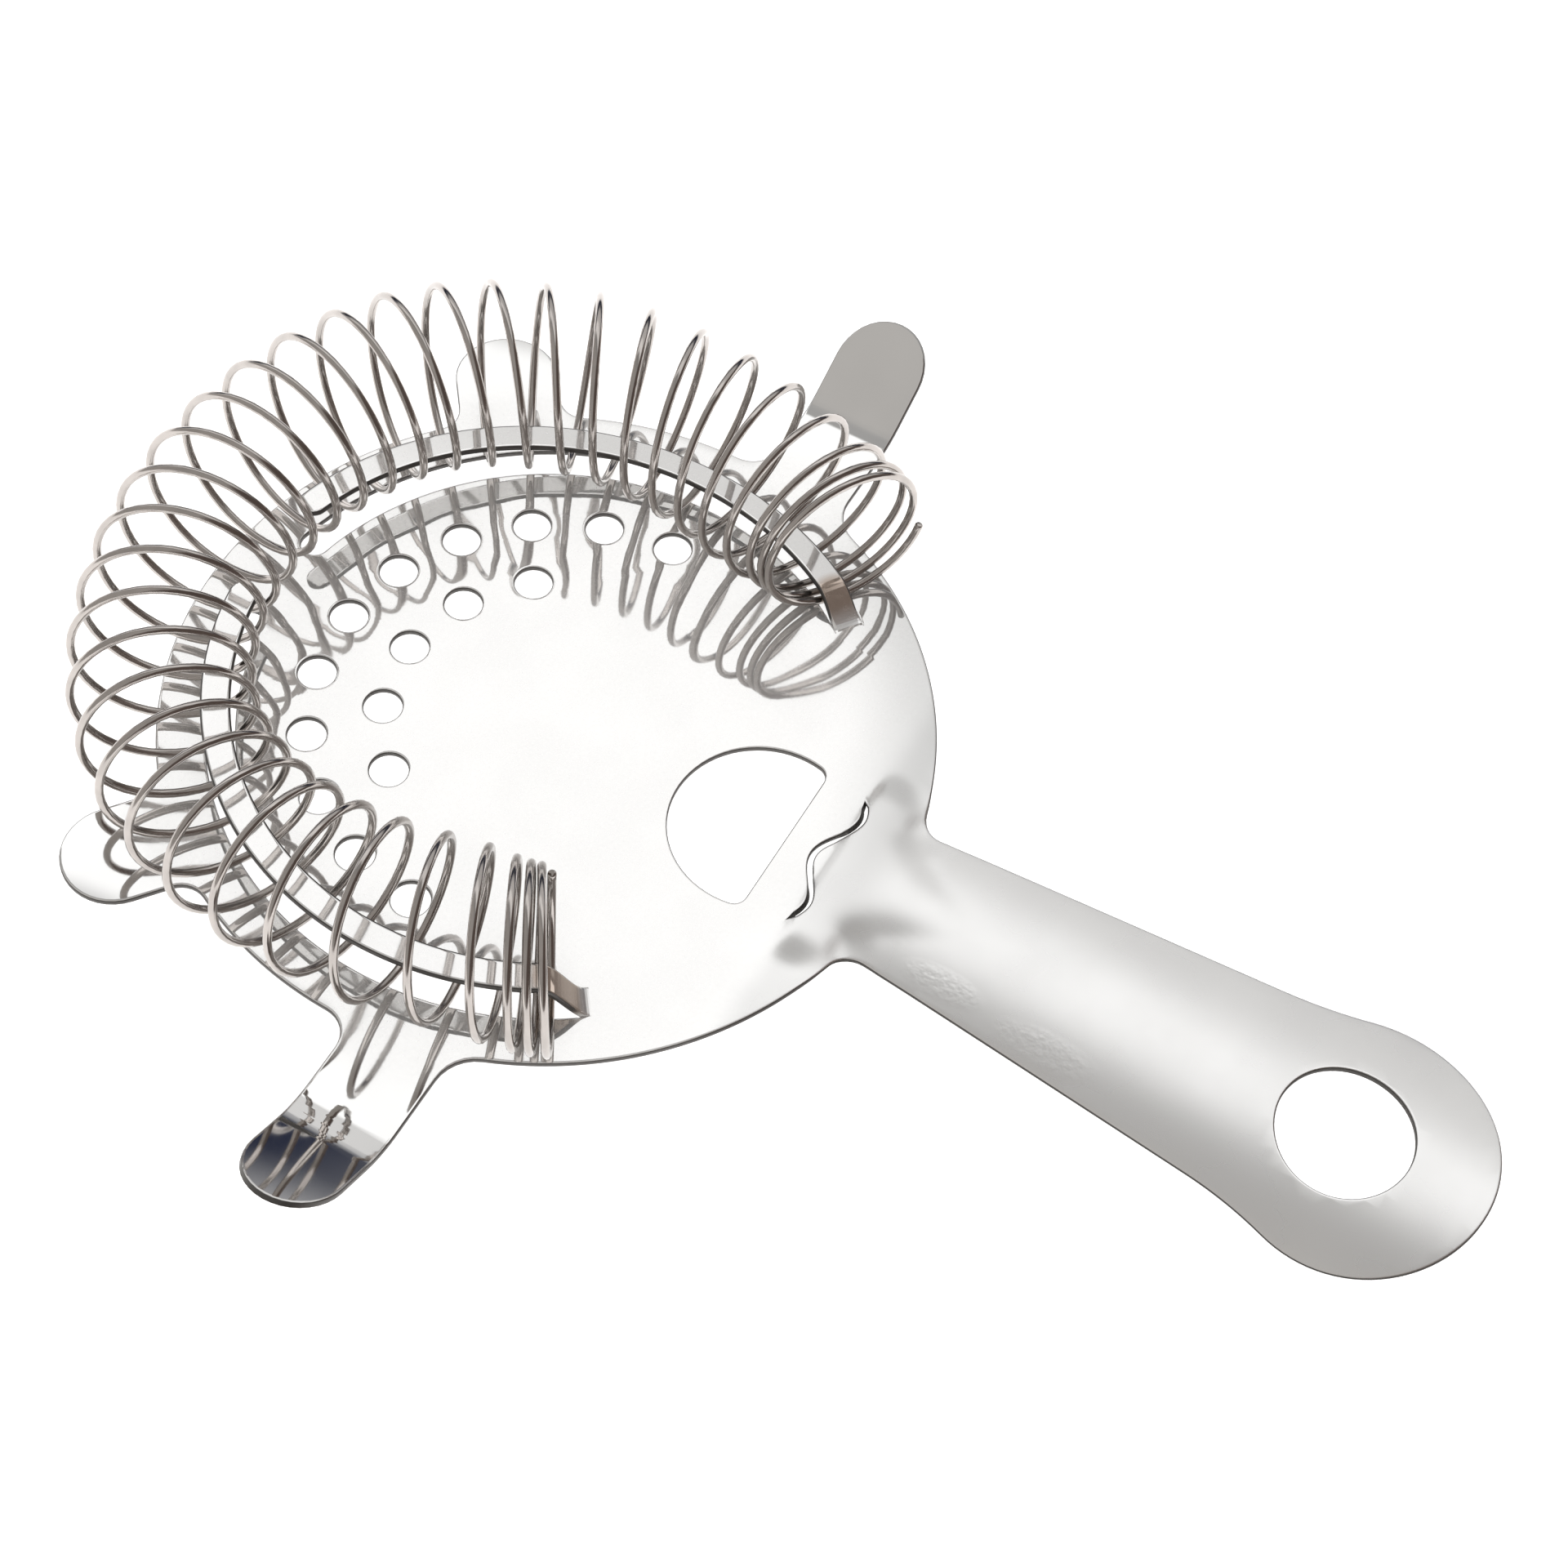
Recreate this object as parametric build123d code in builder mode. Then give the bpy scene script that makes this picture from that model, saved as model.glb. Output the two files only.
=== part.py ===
from build123d import *
from math import cos, degrees, radians, sin, sqrt
import os

os.makedirs("parts", exist_ok=True)

# Hawthorne strainer: one stamped and bent steel sheet, and one soft coil spring.
# Origin at the disc's centre on its underside, +X along the handle, +Z up on the spring's side.

# Sheet
sheet = 0.8
disc_r = 45.0

# Strainer holes, two arcs open towards the handle
hole_d = 4.55
outer_row_r = 28.7
outer_row_steps = 5
outer_row_pitch = 17.45
inner_row_r = 20.2
inner_row_steps = 2
inner_row_pitch = 25.2
rows_shift = 1.0

# D-shaped window and the wavy slit behind it
window_r = 10.7
window_x = 28.2
window_flat_x = 31.4
window_corner_r = 1.6
slit_width = 0.7
slit_x = 35.1
slit_crest = 2.8
slit_crest_y = 6.4
slit_end_y = 9.0
slit_hook = 1.0

# Cross rib where the handle leaves the disc
rib_x = 38.6
rib_half_length = 12.6
rib_r = 0.9
rib_rise = 0.35
rib_sunk = 0.2
rib_taper = 30

# Handle: an arched strip that falls away slightly
neck_x = 44.0
edge_from_x = 30.0
edge_at_x = 50.0
edge_at_y = 9.65
edge_slope = 0.088
arch_x = 52.0
arch_r = 61.0
arch_dip = 0.06
flat_sag = 0.001
end_x = 103.3
end_r = 15.7
end_drop = 1.2
neck_fillet = 3.0
flare_fillet = 50.0
hang_x = 101.6
hang_d = 15.6

# Side ears, bent up at the ends
ear_x = 8.5
ear_width = 11.4
ear_tip_y = 69.3
ear_bend_y = 53.5
ear_bend_r = 12.0
ear_bend_angle = 28.0
ear_front_fillet = 3.5
ear_back_fillet = 5.0

# Front ears, flat
front_ear_angle = 127.7
front_ear_width = 12.6
front_ear_centre_r = 51.5
front_ear_fillet = 3.0
front_ear_from_r = 30.0

# Fingers cut from the disc that hold the spring, and the slots they leave
finger_in_r = 36.0
finger_out_r = 39.4
finger_root = 51.5
finger_start = 60.0
finger_end = 171.5
slot_gap = 0.1
slot_end_gap = 0.7
near_finger_z = 7.1
far_finger_z = 4.15
far_finger_x = 1.3
far_finger_fall_x = 0.0578
far_finger_fall_y = 0.0686
bend_tail = 0.8
bend_overlap = 0.15
bend_fullness = 1.25

# Coil spring: rings round a curved centre line, a little wider on the far side
wire_d = 1.0
coil_r = 10.0
far_swell = 0.8
swell_from = 55.0
swell_in = 20.0
swell_to = 230.0
swell_out = 90.0
coil_low_z = 2.15
coil_far_drop = 0.75
coil_front_r = 43.2
coil_waist_r = 36.6
coil_end_r = 38.8
waist_angle = 105.0
front_angle = 30.0
end_span = 20.0

# Coil pitch along its centre line: close at the two ends and open between
coil_first = 58.0
start_phase = -10
turns = 35.5
tight_pitch = 1.45
open_pitch = 5.45
first_tight = 1.3
far_spread_turns = 2.9
last_tight = 1.84
near_spread_turns = 3.8
near_stretch = 0.6
stretch_from = 27.5
stretch_turns = 6.0
points_per_turn = 8

# Working stock: how far the blanks and cutters reach past the finished edges
outline_low = -8.0
outline_high = 14.0
blank_back_x = -60.0
spare = 3.0
ear_overlap = 1.0
slab = 200
cut_low = -2.0
cut_depth = 4.0
close = 0.01

finger_mid_r = (finger_in_r + finger_out_r) / 2
finger_w = finger_out_r - finger_in_r


def smooth(u):
    u = min(max(u, 0.0), 1.0)
    return u * u * (3 - 2 * u)


def polar(r, angle):
    return (r * cos(radians(angle)), r * sin(radians(angle)))


def arc_strip(r_in, r_out, start, end, side):
    # annular strip from a square start to a fully rounded end, on one side of the disc
    mid = (r_in + r_out) / 2
    round_end = end - degrees((r_out - r_in) / 2 / mid)
    half = (start + round_end) / 2
    a = polar(r_in, side * start)
    b = polar(r_in, side * half)
    c = polar(r_in, side * round_end)
    d = polar(mid, side * end)
    e = polar(r_out, side * round_end)
    f = polar(r_out, side * half)
    g = polar(r_out, side * start)
    with BuildSketch(mode=Mode.PRIVATE) as strip:
        with BuildLine():
            ThreePointArc(a, b, c)
            ThreePointArc(c, d, e)
            ThreePointArc(e, f, g)
            Line(g, a)
        make_face()
    return strip.sketch


def arch_face(x, crown, sag):
    # a strip across the handle, arched upwards by sag over its half width
    half = end_r + spare
    plane = Plane(origin=(x, 0, 0), x_dir=(0, 1, 0), z_dir=(1, 0, 0))
    with BuildSketch(plane, mode=Mode.PRIVATE) as face:
        with BuildLine():
            Spline((-half, crown - sag), (0, crown), (half, crown - sag),
                   tangents=((half, 2 * sag), (half, -2 * sag)))
            Line((half, crown - sag), (half, crown - sag - sheet))
            Spline((half, crown - sag - sheet), (0, crown - sheet), (-half, crown - sag - sheet),
                   tangents=((-half, 2 * sag), (-half, -2 * sag)))
            Line((-half, crown - sag - sheet), (-half, crown - sag))
        make_face()
    return face.sketch


# ---------------------------------------------------------------- plan outline
def on_disc(v):
    return abs(sqrt(v.X ** 2 + v.Y ** 2) - disc_r) < close


def on_end(v):
    return abs(sqrt((v.X - end_x) ** 2 + v.Y ** 2) - end_r) < close and v.X < end_x


root_y = edge_at_y - edge_slope * (edge_at_x - edge_from_x)
stop_y = edge_at_y + edge_slope * (end_x - edge_at_x)

with BuildPart() as outline:
    with BuildSketch(Plane.XY.offset(outline_low)) as plan:
        Circle(disc_r)
        with BuildLine():
            Polyline((edge_from_x, -root_y), (end_x, -stop_y),
                     (end_x, stop_y), (edge_from_x, root_y), close=True)
        make_face()
        with Locations((end_x, 0)):
            Circle(end_r)
        fillet([v for v in plan.vertices() if on_disc(v)], neck_fillet)
        fillet([v for v in plan.vertices() if on_end(v)], flare_fillet)
        with Locations((ear_x, 0)):
            SlotOverall(2 * ear_tip_y, ear_width, rotation=90)
        for edge_x, radius in ((ear_x - ear_width / 2, ear_front_fillet),
                               (ear_x + ear_width / 2, ear_back_fillet)):
            fillet([v for v in plan.vertices() if on_disc(v) and abs(v.X - edge_x) < close], radius)
        for side in (-1, 1):
            middle_r = (front_ear_centre_r + front_ear_from_r) / 2
            with Locations(polar(middle_r, side * front_ear_angle)):
                Rectangle(front_ear_centre_r - front_ear_from_r, front_ear_width,
                          rotation=side * front_ear_angle)
            with Locations(polar(front_ear_centre_r, side * front_ear_angle)):
                Circle(front_ear_width / 2)
        fillet([v for v in plan.vertices() if on_disc(v) and v.X < -disc_r / 2], front_ear_fillet)
    extrude(amount=outline_high - outline_low)

# ---------------------------------------------------------------- bent ears
with BuildPart() as ears:
    for side in (-1, 1):
        run = ear_bend_r * sin(radians(ear_bend_angle))
        rise = ear_bend_r * (1 - cos(radians(ear_bend_angle)))
        top_r = ear_bend_r - sheet
        top_run = top_r * sin(radians(ear_bend_angle))
        top_rise = sheet + top_r * (1 - cos(radians(ear_bend_angle)))
        half = radians(ear_bend_angle / 2)
        far = ear_tip_y + spare - ear_bend_y
        slope = sin(radians(ear_bend_angle)) / cos(radians(ear_bend_angle))
        y0 = side * ear_bend_y
        with BuildSketch(Plane.YZ.offset(ear_x - ear_width)) as ear_profile:
            with BuildLine():
                Line((y0 - side * ear_overlap, 0), (y0, 0))
                ThreePointArc((y0, 0),
                              (y0 + side * ear_bend_r * sin(half), ear_bend_r * (1 - cos(half))),
                              (y0 + side * run, rise))
                Line((y0 + side * run, rise), (y0 + side * far, rise + (far - run) * slope))
                Line((y0 + side * far, rise + (far - run) * slope),
                     (y0 + side * far, top_rise + (far - top_run) * slope))
                Line((y0 + side * far, top_rise + (far - top_run) * slope),
                     (y0 + side * top_run, top_rise))
                ThreePointArc((y0 + side * top_run, top_rise),
                              (y0 + side * top_r * sin(half), sheet + top_r * (1 - cos(half))),
                              (y0, sheet))
                Line((y0, sheet), (y0 - side * ear_overlap, sheet))
                Line((y0 - side * ear_overlap, sheet), (y0 - side * ear_overlap, 0))
            make_face()
        extrude(amount=2 * ear_width)

# ---------------------------------------------------------------- arched handle
sag = (end_r + spare) ** 2 / (2 * arch_r)
fall = end_drop / (end_x - arch_x)
crown_z = sheet - arch_dip
blank_end_x = end_x + end_r + spare
with BuildPart() as handle:
    add(arch_face(neck_x, sheet, flat_sag))
    add(arch_face(arch_x, crown_z, sag))
    loft()
    add(arch_face(arch_x, crown_z, sag))
    add(arch_face(blank_end_x, crown_z - fall * (blank_end_x - arch_x), sag))
    loft()

# ---------------------------------------------------------------- fingers
near_plane = Plane(origin=(0, 0, near_finger_z), z_dir=(0, 0, 1))
far_plane = Plane(origin=(far_finger_x, finger_mid_r, far_finger_z),
                  z_dir=(far_finger_fall_x, far_finger_fall_y, 1))

with BuildPart() as near_finger:
    add(arc_strip(finger_in_r, finger_out_r, finger_start, finger_end, -1))
    extrude(amount=outline_high)
    with Locations(near_plane):
        Box(slab, slab, sheet, align=(Align.CENTER, Align.CENTER, Align.MAX), mode=Mode.INTERSECT)

with BuildPart() as far_finger:
    add(arc_strip(finger_in_r, finger_out_r, finger_start, finger_end, 1))
    extrude(amount=outline_high)
    with Locations(far_plane):
        Box(slab, slab, sheet, align=(Align.CENTER, Align.CENTER, Align.MAX), mode=Mode.INTERSECT)


def root_bend(side, top_z, end_fall):
    # S-bend from the disc up to the finger; u runs along the finger, v is height
    mid = (finger_root + finger_start) / 2
    length = 2 * finger_mid_r * sin(radians(finger_start - finger_root) / 2)
    at = polar(finger_mid_r, side * mid)
    along = polar(1, side * (mid + 90))
    plane = Plane(origin=(at[0], at[1], 0), x_dir=(along[0], along[1], 0),
                  z_dir=(along[1], -along[0], 0))
    u0 = -length / 2
    u1 = length / 2 + bend_overlap
    end_dir = (1, end_fall)
    with BuildPart() as bend:
        with BuildSketch(plane):
            with BuildLine():
                Line((u0 - bend_tail, 0), (u0, 0))
                Spline((u0, 0), (u1, top_z - sheet), tangents=((1, 0), end_dir),
                       tangent_scalars=(bend_fullness, bend_fullness))
                Line((u1, top_z - sheet), (u1, top_z))
                Spline((u1, top_z), (u0, sheet), tangents=((-1, -end_fall), (-1, 0)),
                       tangent_scalars=(bend_fullness, bend_fullness))
                Line((u0, sheet), (u0 - bend_tail, sheet))
                Line((u0 - bend_tail, sheet), (u0 - bend_tail, 0))
            make_face()
        extrude(amount=finger_w / 2, both=True)
    return bend.part


start_x, start_y = polar(finger_mid_r, finger_start)
far_start_z = far_finger_z - far_finger_fall_x * (start_x - far_finger_x)
far_start_z -= far_finger_fall_y * (start_y - finger_mid_r)
far_slope = (far_finger_fall_x * sin(radians(finger_start))
             - far_finger_fall_y * cos(radians(finger_start)))
near_bend = root_bend(-1, near_finger_z, 0)
far_bend = root_bend(1, far_start_z, far_slope)

# ---------------------------------------------------------------- strainer plate
with BuildPart() as strainer_plate:
    with BuildSketch():
        with Locations(((neck_x + blank_back_x) / 2, 0)):
            Rectangle(neck_x - blank_back_x, 2 * ear_bend_y)
    extrude(amount=sheet)
    add(ears.part)
    add(handle.part)
    add(outline.part, mode=Mode.INTERSECT)

    # cross rib
    with BuildSketch(Plane.XY.offset(sheet - rib_sunk)):
        with Locations((rib_x, 0)):
            SlotOverall(2 * rib_half_length, 2 * rib_r, rotation=90)
    extrude(amount=rib_sunk + rib_rise, taper=rib_taper)

    # hanging hole
    with Locations((hang_x, 0, 0)):
        Hole(hang_d / 2, depth=slab)

    # strainer holes
    with BuildSketch(Plane.XY.offset(cut_low)):
        for radius, steps, pitch in ((outer_row_r, outer_row_steps, outer_row_pitch),
                                     (inner_row_r, inner_row_steps, inner_row_pitch)):
            for k in range(-steps, steps + 1):
                x, y = polar(radius, 180 + k * pitch)
                with Locations((x + rows_shift, y)):
                    Circle(hole_d / 2)
    extrude(amount=cut_depth, mode=Mode.SUBTRACT)

    # window
    with BuildSketch(Plane.XY.offset(cut_low)) as window:
        with Locations((window_x, 0)):
            Circle(window_r)
        with Locations((window_flat_x, 0)):
            Rectangle(2 * window_r, 2 * window_r, align=(Align.MIN, Align.CENTER), mode=Mode.SUBTRACT)
        fillet(window.vertices(), window_corner_r)
    extrude(amount=cut_depth, mode=Mode.SUBTRACT)

    # wavy slit
    with BuildSketch(Plane.XY.offset(cut_low)):
        with BuildLine() as wave:
            crest_x = slit_x + slit_crest
            Spline((crest_x - slit_hook, -slit_end_y), (crest_x, -slit_crest_y), (slit_x, 0),
                   (crest_x, slit_crest_y), (crest_x - slit_hook, slit_end_y))
        trace(wave.line, slit_width)
    extrude(amount=cut_depth, mode=Mode.SUBTRACT)

    # slots under the fingers
    with BuildSketch(Plane.XY.offset(cut_low)):
        for side in (-1, 1):
            add(arc_strip(finger_in_r, finger_out_r + slot_gap, finger_root,
                          finger_end + slot_end_gap, side))
    extrude(amount=cut_depth, mode=Mode.SUBTRACT)

    add(near_finger.part)
    add(far_finger.part)
    add(near_bend)
    add(far_bend)


# ---------------------------------------------------------------- coil spring
def pitch(turn):
    # distance along the centre line from one ring to the next
    opening = smooth((turn - first_tight) / far_spread_turns)
    closing = smooth((turns - last_tight - turn) / near_spread_turns)
    loose = open_pitch * (1 + near_stretch * smooth((turn - stretch_from) / stretch_turns))
    return tight_pitch + (loose - tight_pitch) * opening * closing


def ring_r(angle):
    far = smooth((angle - swell_from) / swell_in) * smooth((swell_to - angle) / swell_out)
    return coil_r + far_swell * far


def centre_radius(angle):
    off = abs(180 - angle)
    if off < waist_angle:
        way = smooth((off - front_angle) / (waist_angle - front_angle))
        return coil_front_r - (coil_front_r - coil_waist_r) * way
    return coil_waist_r + (coil_end_r - coil_waist_r) * smooth((off - waist_angle) / end_span)


def coil_point(turn, angle):
    phi = radians(start_phase - 360 * turn)
    drop = coil_far_drop * smooth((180 - angle - front_angle) / (waist_angle - front_angle))
    x, y = polar(centre_radius(angle) + ring_r(angle) * cos(phi), angle)
    return (x, y, coil_low_z - drop + ring_r(angle) * (1 + sin(phi)))


path_points = []
ring_angle = coil_first
for k in range(round(turns * points_per_turn) + 1):
    path_points.append(coil_point(k / points_per_turn, ring_angle))
    advance = pitch((k + 0.5) / points_per_turn) / points_per_turn
    ring_angle += degrees(advance / centre_radius(ring_angle))

with BuildPart() as coil_spring:
    with BuildLine() as path:
        Spline(*path_points)
    with BuildSketch(Plane(origin=path.line @ 0, z_dir=path.line % 0)):
        Circle(wire_d / 2)
    sweep(is_frenet=True)

strainer_plate.part.label = "strainer_plate"
coil_spring.part.label = "coil_spring"
export_step(strainer_plate.part, "parts/strainer_plate.step")
export_step(coil_spring.part, "parts/coil_spring.step")
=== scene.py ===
"""Hawthorne strainer: the looks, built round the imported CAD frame. Run as a script in Blender."""

from math import atan2, ceil, cos, degrees, hypot, pi, radians, sin, sqrt

import bmesh
import bpy
from mathutils import Matrix, Vector
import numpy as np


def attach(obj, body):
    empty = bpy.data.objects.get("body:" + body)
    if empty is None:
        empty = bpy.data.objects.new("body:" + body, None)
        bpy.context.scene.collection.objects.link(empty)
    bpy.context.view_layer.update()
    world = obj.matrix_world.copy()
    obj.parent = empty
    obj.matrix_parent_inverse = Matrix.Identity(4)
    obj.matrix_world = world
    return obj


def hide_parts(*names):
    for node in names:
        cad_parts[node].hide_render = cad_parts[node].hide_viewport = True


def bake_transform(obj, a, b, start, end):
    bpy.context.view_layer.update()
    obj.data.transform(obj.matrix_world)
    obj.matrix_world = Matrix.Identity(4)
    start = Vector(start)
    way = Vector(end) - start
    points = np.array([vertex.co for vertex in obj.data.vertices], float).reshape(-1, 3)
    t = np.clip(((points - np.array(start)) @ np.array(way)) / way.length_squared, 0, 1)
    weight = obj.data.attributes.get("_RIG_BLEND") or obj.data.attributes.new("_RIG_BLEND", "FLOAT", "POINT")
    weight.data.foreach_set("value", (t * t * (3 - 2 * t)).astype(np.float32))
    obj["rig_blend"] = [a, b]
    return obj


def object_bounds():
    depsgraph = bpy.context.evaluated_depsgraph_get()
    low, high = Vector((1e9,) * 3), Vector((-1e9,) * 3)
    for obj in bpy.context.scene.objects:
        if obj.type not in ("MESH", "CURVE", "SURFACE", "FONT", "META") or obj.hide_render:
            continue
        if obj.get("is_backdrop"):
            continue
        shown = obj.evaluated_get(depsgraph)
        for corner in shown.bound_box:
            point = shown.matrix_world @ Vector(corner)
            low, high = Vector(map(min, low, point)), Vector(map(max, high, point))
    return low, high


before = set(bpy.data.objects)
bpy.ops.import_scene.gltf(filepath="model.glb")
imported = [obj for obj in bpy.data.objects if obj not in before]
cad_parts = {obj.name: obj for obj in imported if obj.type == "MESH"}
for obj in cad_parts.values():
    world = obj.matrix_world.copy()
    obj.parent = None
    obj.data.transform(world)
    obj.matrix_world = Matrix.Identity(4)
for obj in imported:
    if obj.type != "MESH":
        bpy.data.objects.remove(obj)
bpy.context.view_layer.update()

bl_info = {
    "name": "Hawthorne strainer",
    "version": (1, 0, 0),
    "blender": (4, 5, 0),
    "location": "3D View > Sidebar > Strainer",
    "description": "Builds a hawthorne strainer: stamped steel sheet, coil spring and a small studio",
    "category": "Object",
}

MM = 0.001


# ------------------------------------------------------------------ settings
def length(name, text, mm):
    return bpy.props.FloatProperty(name=name, description=text, default=mm * MM, unit="LENGTH",
                                   precision=5)


def turn(name, text, value):
    return bpy.props.FloatProperty(name=name, description=text, default=radians(value),
                                   unit="ROTATION")


def colour(name, text, rgb):
    return bpy.props.FloatVectorProperty(name=name, description=text, default=rgb, size=3,
                                         subtype="COLOR", min=0.0, max=2.0)


def share(name, text, value):
    return bpy.props.FloatProperty(name=name, description=text, default=value, min=0.0, max=1.0,
                                   subtype="FACTOR")


class StrainerSheetSizes(bpy.types.PropertyGroup):
    """Sizes of the stamped sheet"""
    disc_radius: length("Disc radius", "Radius of the disc", 45.0)
    thickness: length("Thickness", "Thickness of the sheet", 0.8)
    hole_diameter: length("Hole", "Diameter of a strainer hole", 4.55)
    handle_end_radius: length("Handle end", "Radius of the handle's round end", 15.7)
    handle_end_x: length("Handle end centre", "Distance of the handle's end centre from the disc's", 103.3)
    handle_arch_radius: length("Handle arch", "Radius of the handle's arched section", 61.0)
    hang_diameter: length("Hanging hole", "Diameter of the hanging hole", 15.6)
    ear_bend: turn("Ear bend", "How far the side ears are bent up", 28.0)


class StrainerSpringSizes(bpy.types.PropertyGroup):
    """Sizes of the coil spring"""
    wire_diameter: length("Wire", "Diameter of the wire", 1.0)
    coil_radius: length("Coil radius", "Radius of a ring to the middle of the wire", 10.0)
    turns: bpy.props.FloatProperty(name="Turns", description="Number of turns of the coil", default=35.5)


class StrainerFinish(bpy.types.PropertyGroup):
    """Colours and finishes"""
    steel: colour("Steel", "Colour of the polished sheet", (0.83, 0.825, 0.815))
    wire: colour("Wire", "Colour of the spring wire", (0.50, 0.465, 0.44))
    # the sheared edges' near-black colour is partly the dull cut steel and partly painted shade
    sheared_shade: colour("Sheared edge", "Colour of the sheared edges", (0.10, 0.095, 0.09))
    # painted reflection: the brown of the finger bends stands for the brown reflection they show
    bend: colour("Finger bend", "Colour of the bends at the fingers' roots", (0.50, 0.42, 0.36))
    polish_roughness: share("Polished", "Roughness of the polished disc", 0.035)
    satin_roughness: share("Satin", "Roughness of the satin handle", 0.27)
    wire_roughness: share("Wire", "Roughness of the drawn wire", 0.16)


class StrainerStudio(bpy.types.PropertyGroup):
    """Camera, floor and lights"""
    azimuth: turn("Azimuth", "Camera's turn round the object", 24.486)
    elevation: turn("Elevation", "Camera's height above the horizon", 57.040)
    roll: turn("Roll", "Camera's roll", 5.939)
    distance: length("Distance", "Camera's distance from its aim", 361.99)
    floor: colour("Floor", "Colour of the floor", (0.93, 0.93, 0.93))


# ------------------------------------------------------------------ small helpers
def smooth(u):
    u = min(max(u, 0.0), 1.0)
    return u * u * (3 - 2 * u)


def polar(radius, angle):
    return Vector((radius * cos(radians(angle)), radius * sin(radians(angle)), 0.0))


def finish_piece(bm, name, node, material):
    """Turns a mesh made in millimetres into a finished piece that stands for a CAD node."""
    bmesh.ops.scale(bm, vec=(MM, MM, MM), verts=bm.verts)
    mesh = bpy.data.meshes.new(name)
    bm.to_mesh(mesh)
    bm.free()
    piece = bpy.data.objects.new(name, mesh)
    bpy.context.scene.collection.objects.link(piece)
    mesh.materials.append(material)
    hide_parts(node)
    return piece


# ------------------------------------------------------------------ drawing outlines
ARC_DEGREES = 12
MERGE_DIST = 0.001


class Pen:
    """Draws an outline in the XY plane with lines and spun arcs."""

    def __init__(self, bm, start, step):
        self.bm = bm
        self.step = step
        self.tip = bm.verts.new(start)

    def line(self, end):
        start = self.tip.co.copy()
        end = Vector(end)
        parts = max(1, ceil((end - start).length / self.step))
        for k in range(parts):
            made = bmesh.ops.extrude_vert_indiv(self.bm, verts=[self.tip])
            self.tip = made["verts"][0]
            self.tip.co = start.lerp(end, (k + 1) / parts)

    def arc(self, centre, sweep):
        """Spins the tip round centre by sweep degrees, anticlockwise when positive."""
        radius = (self.tip.co - Vector(centre)).length
        steps = max(2, ceil(abs(radians(sweep)) * radius / self.step), ceil(abs(sweep) / ARC_DEGREES))
        made = bmesh.ops.spin(self.bm, geom=[self.tip], cent=centre, axis=(0, 0, 1),
                              angle=radians(sweep), steps=steps, use_duplicate=False)
        self.tip = made["geom_last"][0]

    def arc_to(self, centre, end):
        """Spins the tip round centre the short way to end."""
        centre = Vector(centre)
        a = self.tip.co - centre
        b = Vector(end) - centre
        sweep = degrees(atan2(a.x * b.y - a.y * b.x, a.dot(b)))
        self.arc(centre, sweep)
        self.tip.co = Vector(end)


def mirror_outline(bm):
    """Copies the upper half of an outline to the lower half and joins the two."""
    bmesh.ops.mirror(bm, geom=bm.verts[:] + bm.edges[:], axis="Y", merge_dist=MERGE_DIST)
    bmesh.ops.remove_doubles(bm, verts=bm.verts, dist=2 * MERGE_DIST)


# ------------------------------------------------------------------ the sheet's plan
OUTLINE_STEP = 1.0
EAR_X, EAR_HALF, EAR_TIP_Y, EAR_BEND_Y = 8.5, 5.7, 69.3, 53.5
EAR_FRONT_FILLET, EAR_BACK_FILLET = 3.5, 5.0
FRONT_EAR_ANGLE, FRONT_EAR_HALF, FRONT_EAR_CENTRE, FRONT_EAR_FILLET = 127.7, 6.3, 51.5, 3.0
NECK_FILLET = 3.0
HANDLE_EDGE_AT = Vector((50.0, 9.65, 0.0))
HANDLE_EDGE_SLOPE = 0.088
HANDLE_FLARE, HANDLE_END_SWEEP = 50.0, 60
FINGER_IN, FINGER_OUT = 36.0, 39.4
FINGER_MID, FINGER_HALF = (FINGER_IN + FINGER_OUT) / 2, (FINGER_OUT - FINGER_IN) / 2
FINGER_ROOT, FINGER_START, FINGER_END, SLOT_END = 51.5, 60.0, 171.5, 172.2
WINDOW_X, WINDOW_R, WINDOW_FLAT_X, WINDOW_CORNER = 28.2, 10.7, 31.4, 1.6
SLIT_X, SLIT_CREST, SLIT_CREST_Y, SLIT_END_Y, SLIT_HALF = 35.1, 2.8, 6.4, 9.0, 0.32
SLIT_TAPER, SLIT_PARTS = 0.8, 22
HOLE_ROWS = ((28.7, 5, 17.45), (20.2, 2, 25.2))
HOLE_SHIFT, HOLE_SIDES = 1.0, 32
HANG_X, HANG_SIDES = 101.6, 72
FINGER_EDGE = (0.0, 0.10, 0.28, 0.40)


def ear_outline(pen, disc_r, angle, offset, half, tip, fillet_low, fillet_high):
    """Goes round one ear: offset is its axis's distance from the disc's centre, tip its end's."""
    along = polar(1, angle)
    across = polar(1, angle + 90)
    centre_u = tip - half

    def at(u, v):
        return along * u + across * v

    low, high = offset - half, offset + half
    u = sqrt((disc_r + fillet_low) ** 2 - (low - fillet_low) ** 2)
    centre = at(u, low - fillet_low)
    pen.arc_to((0, 0, 0), centre * (disc_r / centre.length))
    pen.arc_to(centre, at(u, low))
    pen.line(at(centre_u, low))
    pen.arc(at(centre_u, offset), 180)
    u = sqrt((disc_r + fillet_high) ** 2 - (high + fillet_high) ** 2)
    centre = at(u, high + fillet_high)
    pen.line(at(u, high))
    pen.arc_to(centre, centre * (disc_r / centre.length))


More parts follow.
